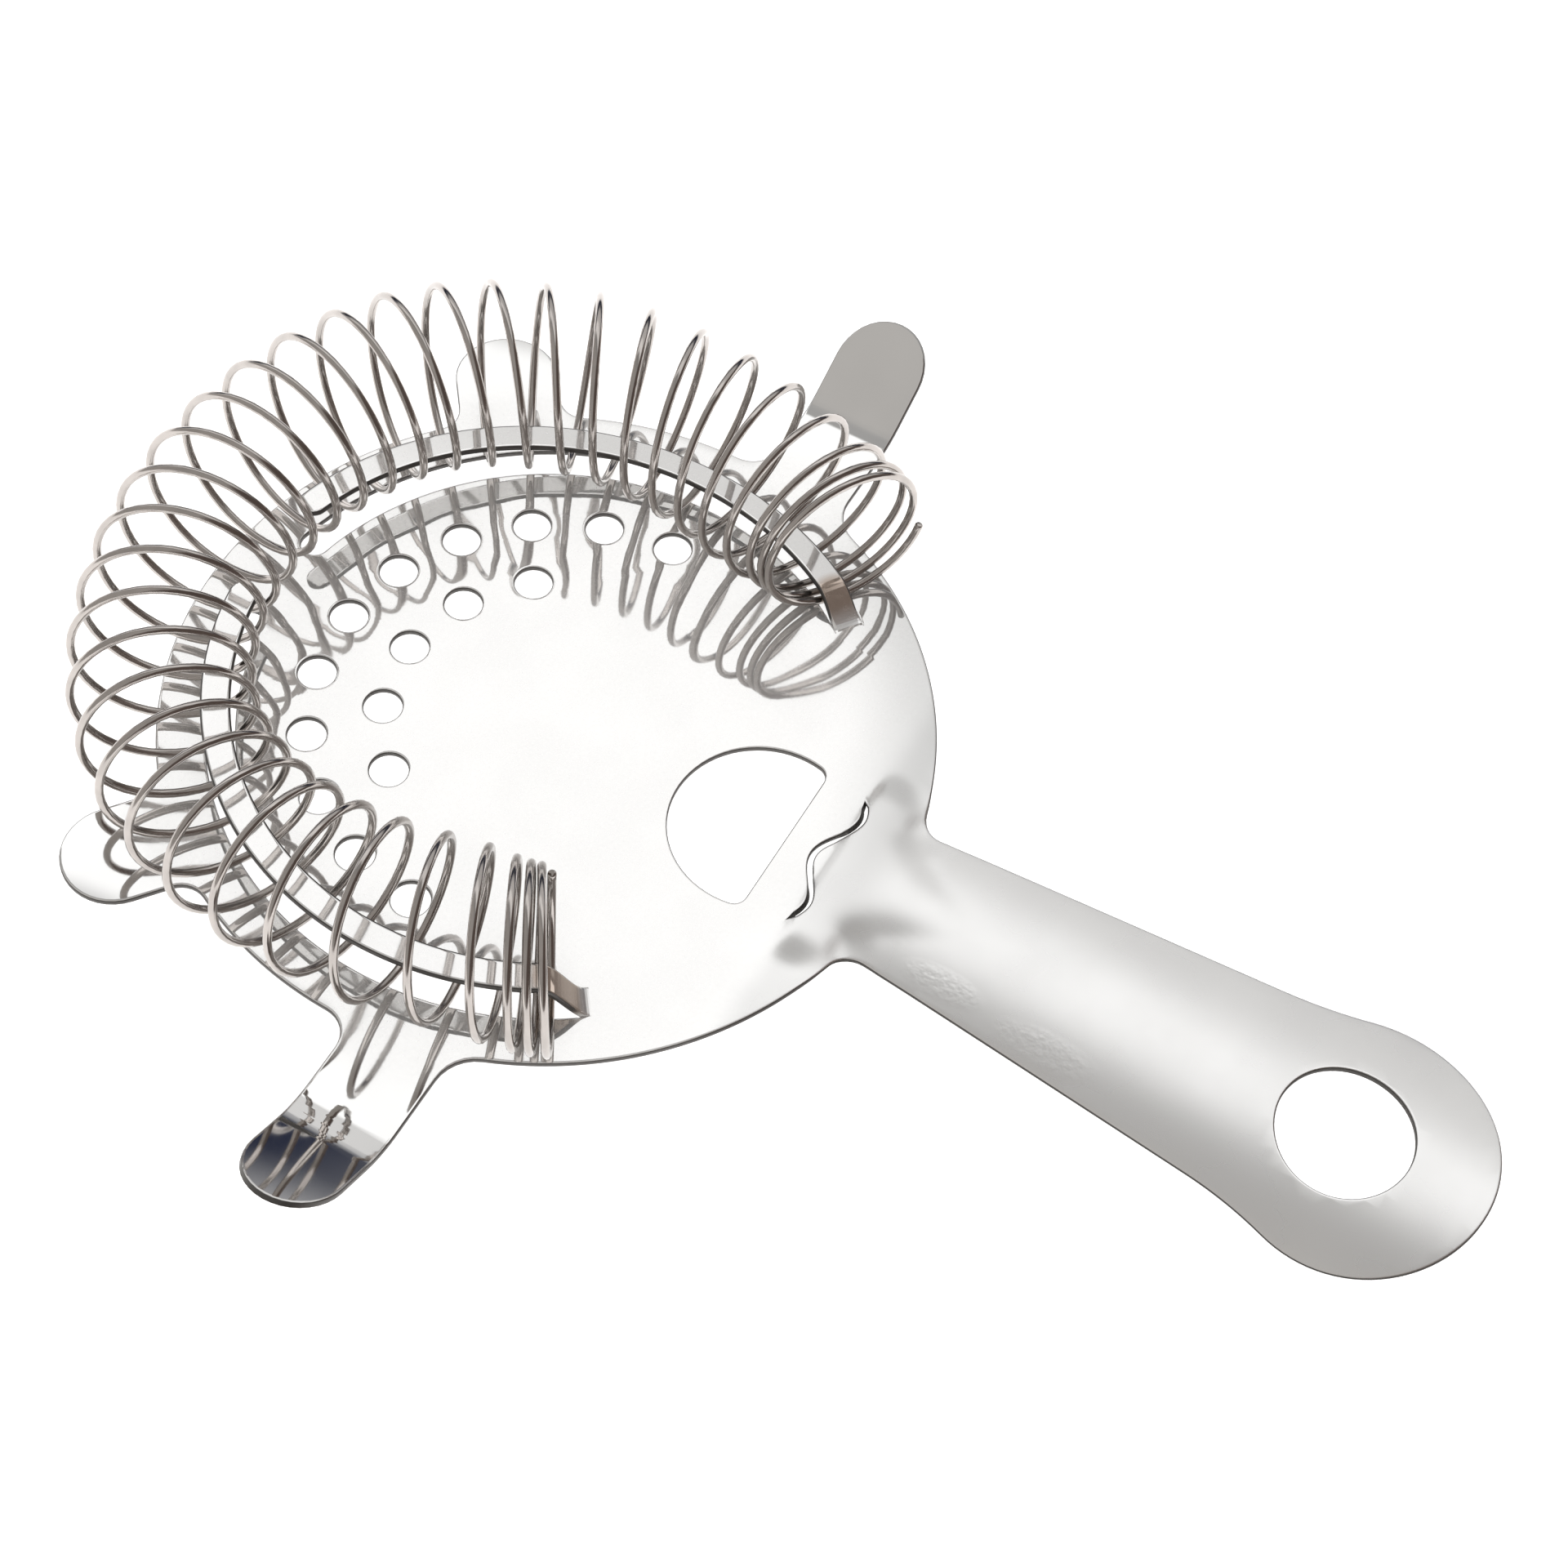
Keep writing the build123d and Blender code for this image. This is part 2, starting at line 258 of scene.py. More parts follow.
def sheet_outline(bm, sizes):
    disc_r = sizes.disc_radius / MM
    end_r = sizes.handle_end_radius / MM
    end = Vector((sizes.handle_end_x / MM, 0, 0))
    run = Vector((1, HANDLE_EDGE_SLOPE, 0)).normalized()
    out = Vector((-run.y, run.x, 0))
    edge = HANDLE_EDGE_AT.dot(out)
    pen = Pen(bm, end + Vector((end_r, 0, 0)), OUTLINE_STEP)
    # round end, flare and straight edge of the handle, back to the disc
    reach = sqrt((end_r + HANDLE_FLARE) ** 2 - (edge + HANDLE_FLARE - end.dot(out)) ** 2)
    flare = run * (end.dot(run) - reach) + out * (edge + HANDLE_FLARE)
    meet = end + (flare - end) * (end_r / (flare - end).length)
    pen.arc(end, HANDLE_END_SWEEP)
    pen.arc_to(end, meet)
    pen.arc_to(flare, flare - out * HANDLE_FLARE)
    neck_run = sqrt((disc_r + NECK_FILLET) ** 2 - (edge + NECK_FILLET) ** 2)
    neck = run * neck_run + out * (edge + NECK_FILLET)
    pen.line(neck - out * NECK_FILLET)
    pen.arc_to(neck, neck * (disc_r / neck.length))
    ear_outline(pen, disc_r, 90, -EAR_X, EAR_HALF, EAR_TIP_Y, EAR_BACK_FILLET, EAR_FRONT_FILLET)
    ear_outline(pen, disc_r, FRONT_EAR_ANGLE, 0, FRONT_EAR_HALF, FRONT_EAR_CENTRE + FRONT_EAR_HALF,
                FRONT_EAR_FILLET, FRONT_EAR_FILLET)
    pen.arc_to((0, 0, 0), (-disc_r, 0, 0))


def slot_outline(bm):
    """The slot that a finger leaves, from its square root to its round end."""
    half, mid = FINGER_HALF, FINGER_MID
    pen = Pen(bm, polar(FINGER_IN, FINGER_ROOT), OUTLINE_STEP)
    first = pen.tip
    stops = [*FINGER_EDGE[1:], half, *(2 * half - e for e in reversed(FINGER_EDGE[1:])), 2 * half]
    for stop in stops:
        made = bmesh.ops.extrude_vert_indiv(bm, verts=[pen.tip])
        pen.tip = made["verts"][0]
        pen.tip.co = polar(FINGER_IN + stop, FINGER_ROOT)
    last = SLOT_END - degrees(half / mid)
    pen.arc((0, 0, 0), last - FINGER_ROOT)
    pen.arc(polar(mid, last), 180)
    pen.arc((0, 0, 0), FINGER_ROOT - last)
    bmesh.ops.weld_verts(bm, targetmap={pen.tip: first})


def window_outline(bm):
    """The upper half of the D-shaped window."""
    corner_x = WINDOW_FLAT_X - WINDOW_CORNER
    corner_y = sqrt((WINDOW_R - WINDOW_CORNER) ** 2 - (corner_x - WINDOW_X) ** 2)
    centre = Vector((WINDOW_X, 0, 0))
    corner = Vector((corner_x, corner_y, 0))
    pen = Pen(bm, (WINDOW_X - WINDOW_R, 0, 0), OUTLINE_STEP)
    pen.arc(centre, -90)
    pen.arc_to(centre, centre + (corner - centre) * (WINDOW_R / (corner - centre).length))
    pen.arc_to(corner, (WINDOW_FLAT_X, corner_y, 0))
    pen.line((WINDOW_FLAT_X, 0, 0))


def slit_point(y, side):
    """A point on one lip of the wavy slit."""
    bend = pi / SLIT_CREST_Y
    x = SLIT_X + SLIT_CREST * (1 - cos(bend * y)) / 2
    slope = SLIT_CREST * bend * sin(bend * y) / 2
    size = hypot(1, slope)
    half = SLIT_HALF * smooth((SLIT_END_Y - abs(y)) / SLIT_TAPER)
    return Vector((x + side * half / size, y - side * half * slope / size, 0))


def slit_outline(bm):
    """The upper half of the wavy slit: out along one lip and back along the other."""
    pen = Pen(bm, slit_point(0, -1), SLIT_END_Y)
    for k in range(1, SLIT_PARTS):
        pen.line(slit_point(SLIT_END_Y * k / SLIT_PARTS, -1))
    for k in range(SLIT_PARTS, -1, -1):
        pen.line(slit_point(SLIT_END_Y * k / SLIT_PARTS, 1))


def half_outlines(bm, sizes):
    sheet_outline(bm, sizes)
    slot_outline(bm)
    window_outline(bm)
    slit_outline(bm)
    mirror_outline(bm)


def round_holes(bm, sizes):
    radius = sizes.hole_diameter / MM / 2
    for row_r, steps, pitch in HOLE_ROWS:
        for k in range(-steps, steps + 1):
            place = polar(row_r, 180 + k * pitch) + Vector((HOLE_SHIFT, 0, 0))
            bmesh.ops.create_circle(bm, cap_ends=False, radius=radius, segments=HOLE_SIDES,
                                    matrix=Matrix.Translation(place))
    bmesh.ops.create_circle(bm, cap_ends=False, radius=sizes.hang_diameter / MM / 2,
                            segments=HANG_SIDES, matrix=Matrix.Translation((HANG_X, 0, 0)))


# ------------------------------------------------------------------ the sheet's form
SLOPE_STEP = 0.05
EAR_BEND_RADIUS = 12.0
NECK_HALF, ARCH_HALF = 24.0, 20.0
SHOULDER_Y, SHOULDER_WIDE, SHOULDER_TO = 11.0, 6.0, 46.0
ARCH_FROM, ARCH_OVER = 38.5, 11.0
FALL_FROM, FALL = 52.0, 0.0234
RIDGE_FROM, RIDGE_FRONT, RIDGE_TOP, RIDGE_RISE, RIDGE_END_Y = 36.4, 2.0, 39.0, 0.60, 13.2
RIDGE_LEAD, RIDGE_FADE_BEFORE, RIDGE_FADE = 2.0, 3.6, 5.4
RIDGE_BACK, CROWN_BACK, CROWN_HALF = 5.5, 11.0, 8.0
DENT_X, DENT_Y, DENT_WIDE_X, DENT_WIDE_Y, DENT_DEEP = 44.5, 9.0, 3.2, 4.0, 0.22


def sheet_height(x, y, sizes):
    """Height of the sheet's middle over the disc's underside, in millimetres."""
    t = sizes.thickness / MM
    z = t / 2
    far = abs(y)
    if far > EAR_BEND_Y:
        middle_r = EAR_BEND_RADIUS - t / 2
        run = middle_r * sin(sizes.ear_bend)
        d = min(far - EAR_BEND_Y, run)
        z = EAR_BEND_RADIUS - sqrt(middle_r ** 2 - d ** 2)
        z += max(far - EAR_BEND_Y - run, 0.0) * sin(sizes.ear_bend) / cos(sizes.ear_bend)
    if x > RIDGE_FROM - RIDGE_LEAD and far < NECK_HALF:
        arch_r = sizes.handle_arch_radius / MM
        arch = arch_r - sqrt(arch_r ** 2 - min(far, ARCH_HALF) ** 2)
        shoulder = 1 - smooth((far - SHOULDER_Y) / SHOULDER_WIDE) if x < SHOULDER_TO else 1
        z -= arch * smooth((x - ARCH_FROM) / ARCH_OVER) * shoulder
        z -= max(x - FALL_FROM, 0) * FALL
        back = RIDGE_BACK + CROWN_BACK * (1 - smooth(far / CROWN_HALF))
        ridge = smooth((x - RIDGE_FROM) / RIDGE_FRONT) * (1 - smooth((x - RIDGE_TOP) / back))
        z += RIDGE_RISE * ridge * (1 - smooth((far - RIDGE_END_Y + RIDGE_FADE_BEFORE) / RIDGE_FADE))
        dent = ((x - DENT_X) / DENT_WIDE_X) ** 2 + ((far - DENT_Y) / DENT_WIDE_Y) ** 2
        if dent < 1:
            z -= DENT_DEEP * (1 - dent) ** 2
    return z


def sheet_point(x, y, side, sizes):
    """A point of the top (side 1) or underside (side -1), square to the sheet's middle."""
    e = SLOPE_STEP
    slope_x = (sheet_height(x + e, y, sizes) - sheet_height(x - e, y, sizes)) / (2 * e)
    slope_y = (sheet_height(x, y + e, sizes) - sheet_height(x, y - e, sizes)) / (2 * e)
    normal = Vector((-slope_x, -slope_y, 1)).normalized()
    return Vector((x, y, sheet_height(x, y, sizes))) + normal * (side * sizes.thickness / MM / 2)


# each ring: width, how far the edge drops there, and its share of the edge's dark colour, which is partly
# painted shade
EDGE_RINGS = ((0.07, 0.17, 1.0), (0.12, 0.05, 0.55), (0.14, 0.01, 0.0))


def add_edge_rings(bm, drop, sheared_shade):
    """Insets narrow rings along every edge, so that the sheet's edges can be rounded and darkened; the dark
    is partly painted shade.
    """
    inner = bm.faces[:]
    for width, _, _ in EDGE_RINGS:
        made = bmesh.ops.inset_region(bm, faces=inner, use_boundary=True, use_even_offset=True,
                                      thickness=width, depth=0)
        ring = set(made["faces"])
        inner = [f for f in inner if f.is_valid and f not in ring]
    rim = {v for e in bm.edges if e.is_boundary for v in e.verts}
    done = set()
    for _, fall, bare_shade in EDGE_RINGS:
        for v in rim:
            v[drop] = fall
            v[sheared_shade] = bare_shade
        done |= rim
        rim = {e.other_vert(v) for v in rim for e in v.link_edges} - done
    return inner


NECK_REGION, NECK_GRID = ((36.0, 60.0), (-24.0, 24.0)), (0.6, 0.8)
HANDLE_REGION, HANDLE_GRID = ((60.0, 118.2), (-16.0, 16.0)), (1.6, 1.6)
EAR_BEND_LONG, EAR_GRID = 5.5, 0.5


def cut_grid(bm, inner, region, step, axis):
    """Cuts the inner faces in a region, ((low x, high x), (low y, high y)), with parallel planes."""
    direction = Vector((1, 0, 0)) if axis == 0 else Vector((0, 1, 0))
    low, high = region[axis]
    other_low, other_high = region[1 - axis]
    count = round((high - low) / step)
    for k in range(count + 1):
        at = low + (high - low) * k / count
        near = []
        for f in bm.faces:
            if not f[inner]:
                continue
            along = [v.co[axis] for v in f.verts]
            across = [v.co[1 - axis] for v in f.verts]
            if min(along) < at < max(along) and max(across) > other_low and min(across) < other_high:
                near.append(f)
        edges = list({e for f in near for e in f.edges})
        verts = list({v for f in near for v in f.verts})
        bmesh.ops.bisect_plane(bm, geom=near + edges + verts, plane_co=direction * at,
                               plane_no=direction, dist=MERGE_DIST / 2)


def inside(v, region):
    return all(region[i][0] - MERGE_DIST <= v.co[i] <= region[i][1] + MERGE_DIST for i in (0, 1))


def grid_the_bends(bm, inner):
    """Gives the bent places an even grid, and clears the long edges that filling left there."""
    for e in bm.edges:
        e.seam = len(e.link_faces) == 2 and all(f[inner] for f in e.link_faces)
    for region, steps in ((NECK_REGION, NECK_GRID), (HANDLE_REGION, HANDLE_GRID)):
        for axis, step in enumerate(steps):
            cut_grid(bm, inner, region, step, axis)
    bend_end = EAR_BEND_Y + EAR_BEND_LONG
    for span in ((EAR_BEND_Y, bend_end), (-bend_end, -EAR_BEND_Y)):
        cut_grid(bm, inner, ((EAR_X - EAR_HALF, EAR_X + EAR_HALF), span), EAR_GRID, 1)
    for region in (NECK_REGION, HANDLE_REGION):
        left = [e for e in bm.edges if e.seam and all(inside(v, region) for v in e.verts)]
        bmesh.ops.dissolve_edges(bm, edges=left, use_verts=True, use_face_split=False)


# ------------------------------------------------------------------ the fingers
FINGER_LEVEL = 7.1
FAR_FINGER_LEVEL, FAR_FALL_FROM_X, FAR_FALL_X, FAR_FALL_Y = 4.15, 1.3, 0.0578, 0.0686
LIFT_STEPS, RUN_STEPS, TIP_LEANS = 16, 74, (15, 30, 45, 60, 72, 82)
EDGE_DROP, EDGE_WIDE, DROP_OVER = 0.16, 0.28, 3
# how the fingers' sheared edges darken, partly with painted shade
BARE_SHADE_WIDE, BARE_SHADE_FROM, BARE_SHADE_OVER, BARE_SHADE_TIP = 0.15, 0.3, 5, 2
ROOT_REACH, ROOT_MARGIN, KEPT_FROM = 1.0, 0.4, 0.1


def finger_height(side, radius, angle, t):
    """Height of a finger's middle: it lifts out of the disc and then runs straight on."""
    x, y = radius * cos(radians(angle)), radius * sin(radians(angle))
    top = FINGER_LEVEL
    if side > 0:
        top = FAR_FINGER_LEVEL - FAR_FALL_X * (x - FAR_FALL_FROM_X) - FAR_FALL_Y * (y - FINGER_MID)
    lift = smooth((angle - FINGER_ROOT) / (FINGER_START - FINGER_ROOT))
    return t / 2 + (top - t) * lift


def finger_stations():
    """Angles along a finger with the share of its width there, ending in a round tip."""
    tip = FINGER_END - degrees(FINGER_HALF / FINGER_MID)
    stations = [(FINGER_ROOT + (FINGER_START - FINGER_ROOT) * k / LIFT_STEPS, 1.0)
                for k in range(1, LIFT_STEPS + 1)]
    stations += [(FINGER_START + (tip - FINGER_START) * k / RUN_STEPS, 1.0)
                 for k in range(1, RUN_STEPS + 1)]
    for lean in TIP_LEANS:
        along = degrees(FINGER_HALF * sin(radians(lean)) / FINGER_MID)
        stations.append((tip + along, cos(radians(lean))))
    return stations


def bare_shade_share(angle):
    """How much of a finger's sheared edge is dark, partly with painted shade: none at its root."""
    return smooth((angle - FINGER_ROOT - BARE_SHADE_FROM) / BARE_SHADE_OVER)


def finger_point(side, across, angle, top, drop, sizes):
    """A point of a finger's top or underside, across its width and square to its middle."""
    t = sizes.thickness / MM
    radius = FINGER_MID + across
    e = SLOPE_STEP
    rise = finger_height(side, radius, angle + e, t) - finger_height(side, radius, angle - e, t)
    lean = atan2(rise, 2 * radians(e) * radius)
    out = top * (t / 2 - drop)
    flat = polar(radius, side * (angle - degrees(out * sin(lean) / radius)))
    return flat + Vector((0, 0, finger_height(side, radius, angle, t) + out * cos(lean)))


def grow_finger(bm, side, layers, sizes):
    """Extrudes the sheet at a slot's square root, station by station, into a finger."""
    root = polar(1, side * FINGER_ROOT)
    square = Vector((-root.y, root.x, 0))
    faces = []
    for f in bm.faces:
        middle = f.calc_center_median()
        reach = Vector((middle.x, middle.y, 0))
        flat = all(abs(v.co.x * square.x + v.co.y * square.y) < 0.02 for v in f.verts)
        if flat and FINGER_IN < reach.dot(root) < FINGER_OUT and abs(f.normal.z) < 0.5:
            faces.append(f)
    for v in {v for f in faces for v in f.verts}:
        v[layers["across"]] = Vector((v.co.x, v.co.y, 0)).length - FINGER_MID
    tip = FINGER_END - degrees(FINGER_HALF / FINGER_MID)
    for angle, width in finger_stations():
        made = bmesh.ops.extrude_face_region(bm, geom=faces)
        faces = [g for g in made["geom"] if isinstance(g, bmesh.types.BMFace)]
        for v in [g for g in made["geom"] if isinstance(g, bmesh.types.BMVert)]:
            across = v[layers["across"]]
            inset = FINGER_HALF - abs(across)
            drop = EDGE_DROP * max(0.0, 1 - inset / EDGE_WIDE) ** 2
            drop *= smooth((angle - FINGER_ROOT) / DROP_OVER)
            bare_shade = 1.0 if inset < BARE_SHADE_WIDE or angle > tip + BARE_SHADE_TIP else 0.0
            v[layers["sheared_shade"]] = bare_shade * bare_shade_share(angle)
            v.co = finger_point(side, across * width, angle, v[layers["top"]], drop, sizes)


# ------------------------------------------------------------------ the whole sheet
def thicken(bm, layers, sizes):
    """Bends the flat plan to its form and gives it its thickness."""
    made = bmesh.ops.extrude_face_region(bm, geom=bm.faces[:], use_keep_orig=True)
    tops = {g for g in made["geom"] if isinstance(g, bmesh.types.BMVert)}
    for v in bm.verts:
        v[layers["top"]] = 1 if v in tops else -1
    for v in bm.verts:
        side = v[layers["top"]]
        place = sheet_point(v.co.x, v.co.y, side, sizes)
        reach = hypot(v.co.x, v.co.y)
        angle = abs(degrees(atan2(v.co.y, v.co.x)))
        kept = 1.0
        in_band = FINGER_IN - ROOT_MARGIN < reach < FINGER_OUT + ROOT_MARGIN
        if in_band and angle > FINGER_ROOT - ROOT_REACH:
            kept = smooth((angle - FINGER_ROOT - KEPT_FROM) / DROP_OVER)
            v[layers["sheared_shade"]] *= bare_shade_share(angle)
        v.co = place - Vector((0, 0, side * v[layers["drop"]] * kept))


SHARP_DEGREES = 50


def shade(mesh):
    """Smooth shading, with edges sharper than an angle left crisp."""
    mesh.shade_smooth()
    mesh.set_sharp_from_angle(angle=radians(SHARP_DEGREES))


class STRAINER_OT_sheet(bpy.types.Operator):
    """Builds the stamped sheet: the disc, its ears, the fingers and the handle"""
    bl_idname = "strainer.sheet"
    bl_label = "Stamped sheet"

    def execute(self, context):
        sizes = context.scene.strainer_sheet
        bm = bmesh.new()
        half_outlines(bm, sizes)
        round_holes(bm, sizes)
        bmesh.ops.triangle_fill(bm, use_beauty=True, use_dissolve=False, edges=bm.edges[:],
                                normal=(0, 0, 1))
        layers = {"drop": bm.verts.layers.float.new("drop"),
                  "across": bm.verts.layers.float.new("across"),
                  "sheared_shade": bm.verts.layers.float.new("sheared_shade"),
                  "top": bm.verts.layers.int.new("top")}
        inner = bm.faces.layers.int.new("inner")
        for f in add_edge_rings(bm, layers["drop"], layers["sheared_shade"]):
            f[inner] = 1
        grid_the_bends(bm, inner)
        thicken(bm, layers, sizes)
        bmesh.ops.recalc_face_normals(bm, faces=bm.faces[:])
        for side in (-1, 1):
            grow_finger(bm, side, layers, sizes)
        bmesh.ops.recalc_face_normals(bm, faces=bm.faces[:])
        for name in ("drop", "across"):
            bm.verts.layers.float.remove(bm.verts.layers.float[name])
        bm.verts.layers.int.remove(bm.verts.layers.int["top"])
        bm.faces.layers.int.remove(bm.faces.layers.int["inner"])
        piece = finish_piece(bm, "stamped_sheet", "strainer_plate",
                             steel_material(context.scene.strainer_finish))
        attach(piece, "plate")
        shade(piece.data)
        return {"FINISHED"}


# ------------------------------------------------------------------ the coil spring
COIL_FIRST, TIGHT_PITCH, OPEN_PITCH = 58.0, 1.45, 5.45
FIRST_TIGHT, FAR_SPREAD_TURNS = 1.3, 2.9
LAST_TIGHT, NEAR_SPREAD_TURNS = 1.84, 3.8
NEAR_STRETCH, STRETCH_FROM, STRETCH_TURNS = 0.6, 27.5, 6.0
COIL_LOW_Z, COIL_FAR_DROP = 2.15, 0.75
FAR_SWELL, SWELL_FROM, SWELL_IN, SWELL_TO, SWELL_OUT = 0.8, 55.0, 20.0, 230.0, 90.0
COIL_FRONT_R, COIL_WAIST_R, COIL_END_R = 43.2, 36.6, 38.8
COIL_FRONT_ANGLE, COIL_WAIST_ANGLE, COIL_END_SPAN = 30.0, 105.0, 20.0
WIRE_SIDES, STATIONS_PER_TURN, ANGLE_PARTS = 12, 44, 4
WIRE_CHAMFER, WIRE_END_SHARE = 0.12, 0.8
START_PHASE = -10.0


def coil_pitch(turn_count, turns):
    """Distance along the centre line from one ring to the next."""
    opening = smooth((turn_count - FIRST_TIGHT) / FAR_SPREAD_TURNS)
    closing = smooth((turns - LAST_TIGHT - turn_count) / NEAR_SPREAD_TURNS)
    loose = OPEN_PITCH * (1 + NEAR_STRETCH * smooth((turn_count - STRETCH_FROM) / STRETCH_TURNS))
    return TIGHT_PITCH + (loose - TIGHT_PITCH) * opening * closing


def coil_centre_radius(angle):
    """Distance of the coil's centre line from the disc's centre."""
    off = abs(180 - angle)
    if off < COIL_WAIST_ANGLE:
        way = (off - COIL_FRONT_ANGLE) / (COIL_WAIST_ANGLE - COIL_FRONT_ANGLE)
        return COIL_FRONT_R - (COIL_FRONT_R - COIL_WAIST_R) * smooth(way)
    way = (off - COIL_WAIST_ANGLE) / COIL_END_SPAN
    return COIL_WAIST_R + (COIL_END_R - COIL_WAIST_R) * smooth(way)


def coil_angles(stops, turns):
    """Angles round the disc at these turns from the far end."""
    angle, before, angles = COIL_FIRST, 0.0, []
    for stop in stops:
        for k in range(ANGLE_PARTS):
            advance = coil_pitch(before + (stop - before) * (k + 0.5) / ANGLE_PARTS, turns)
            angle += degrees(advance * (stop - before) / ANGLE_PARTS / coil_centre_radius(angle))
        before = stop
        angles.append(angle)
    return angles


def coil_middle(angle, coil_r):
    """Centre of the ring at an angle, with the ring's radius there."""
    swell = smooth((angle - SWELL_FROM) / SWELL_IN) * smooth((SWELL_TO - angle) / SWELL_OUT)
    ring_r = coil_r + FAR_SWELL * swell
    far = smooth((180 - angle - COIL_FRONT_ANGLE) / (COIL_WAIST_ANGLE - COIL_FRONT_ANGLE))
    height = COIL_LOW_Z - COIL_FAR_DROP * far + ring_r
    return polar(coil_centre_radius(angle), angle) + Vector((0, 0, height)), ring_r


def coil_point(turn_count, angle, coil_r):
    """A point on the wire's middle."""
    phase = radians(START_PHASE - 360 * turn_count)
    middle, ring_r = coil_middle(angle, coil_r)
    return middle + polar(ring_r * cos(phase), angle) + Vector((0, 0, ring_r * sin(phase)))


class STRAINER_OT_spring(bpy.types.Operator):
    """Builds the coil spring"""
    bl_idname = "strainer.spring"
    bl_label = "Coil spring"

    def execute(self, context):
        sizes = context.scene.strainer_spring
        turns, coil_r, wire_r = sizes.turns, sizes.coil_radius / MM, sizes.wire_diameter / MM / 2
        bm = bmesh.new()
        around = bm.verts.layers.float.new("around")
        bmesh.ops.create_circle(bm, cap_ends=False, radius=wire_r, segments=WIRE_SIDES)
        for v in bm.verts:
            v[around] = atan2(v.co.y, v.co.x)

        steps = round(turns * STATIONS_PER_TURN)
        chamfer = WIRE_CHAMFER / (2 * pi * coil_r)
        stops = [0.0, chamfer, *(turns * k / steps for k in range(1, steps)), turns - chamfer, turns]
        angles = coil_angles(stops, turns)
        points = [coil_point(stop, angle, coil_r) for stop, angle in zip(stops, angles)]

        def set_ring(verts, k):
            along = (points[min(k + 1, len(points) - 1)] - points[max(k - 1, 0)]).normalized()
            out = points[k] - coil_middle(angles[k], coil_r)[0]
            out = (out - along * out.dot(along)).normalized()
            side = along.cross(out)
            radius = wire_r * (WIRE_END_SHARE if k in (0, len(points) - 1) else 1.0)
            for v in verts:
                v.co = points[k] + (out * cos(v[around]) + side * sin(v[around])) * radius

        ring = bm.edges[:]
        ends = [ring]
        set_ring(bm.verts[:], 0)
        for k in range(1, len(points)):
            made = bmesh.ops.extrude_edge_only(bm, edges=ring)
            ring = [g for g in made["geom"] if isinstance(g, bmesh.types.BMEdge)
                    and all(v in made["geom"] for v in g.verts)]
            set_ring([g for g in made["geom"] if isinstance(g, bmesh.types.BMVert)], k)
        ends.append(ring)
        for end in ends:
            bmesh.ops.holes_fill(bm, edges=end, sides=0)
        bmesh.ops.recalc_face_normals(bm, faces=bm.faces[:])
        bm.verts.layers.float.remove(bm.verts.layers.float["around"])
        piece = finish_piece(bm, "wire_coil", "coil_spring",
                             wire_material(context.scene.strainer_finish))
        shade(piece.data)
        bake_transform(piece, "plate", "spring", start=(0.020, 0, 0), end=(-0.045, 0, 0))
        return {"FINISHED"}


# ------------------------------------------------------------------ materials
class Nodes:
    """A short way to add nodes to a tree and join them."""

    def __init__(self, tree):
        self.tree = tree
        tree.nodes.clear()

    def add(self, kind, settings=None, **inputs):
        made = self.tree.nodes.new(kind)
        for name, value in (settings or {}).items():
            setattr(made, name, value)
        for name, value in inputs.items():
            key = int(name[1:]) if name[0] == "_" else name.replace("_", " ")
            self.put(made.inputs[key], value)
        return made

    def put(self, socket, value):
        if isinstance(value, bpy.types.NodeSocket):
            self.tree.links.new(value, socket)
        else:
            socket.default_value = value

    def math(self, operation, *values):
        made = self.add("ShaderNodeMath", {"operation": operation})
        for k, value in enumerate(values):
            self.put(made.inputs[k], value)
        return made.outputs[0]

    def step(self, value, low, high, out_low=0.0, out_high=1.0):
        made = self.add("ShaderNodeMapRange", {"interpolation_type": "SMOOTHSTEP"})
        for k, v in enumerate((value, low, high, out_low, out_high)):
            self.put(made.inputs[k], v)
        return made.outputs[0]

    def mix(self, factor, a, b):
        made = self.add("ShaderNodeMix", {"data_type": "RGBA"})
        self.put(made.inputs[0], factor)
        self.put(made.inputs[6], a)
        self.put(made.inputs[7], b)
        return made.outputs[2]

    def noise(self, vector, scale, detail=2.0, rough=0.5):
        made = self.add("ShaderNodeTexNoise", Scale=scale, Detail=detail, Roughness=rough)
        self.put(made.inputs["Vector"], vector)
        return made.outputs["Fac"]


def rgba(values, k=1.0):
    return (values[0] * k, values[1] * k, values[2] * k, 1.0)


# places on the sheet, in metres: the first value gives nothing, the second the full share
SATIN_X = (0.0335, 0.0390)
RIM_SHADE_REACH, RIM_SHADE_X, RIM_SHADE_Y, RIM_SHADE_END_X = (0.032, 0.046), (0.010, 0.030), (-0.015, 0.012), (0.046, 0.040)
BEND_REFLECTION_REACH, BEND_REFLECTION_Z = (0.0042, 0.0026), (0.0009, 0.0022)
VEIL_REACH, VEIL = (0.052, 0.046), 0.16
# the patches of orange peel: x, y, half length and half width
PATCHES = ((0.0555, -0.0072, 0.0058, 0.0022), (0.0690, -0.0085, 0.0075, 0.0026))


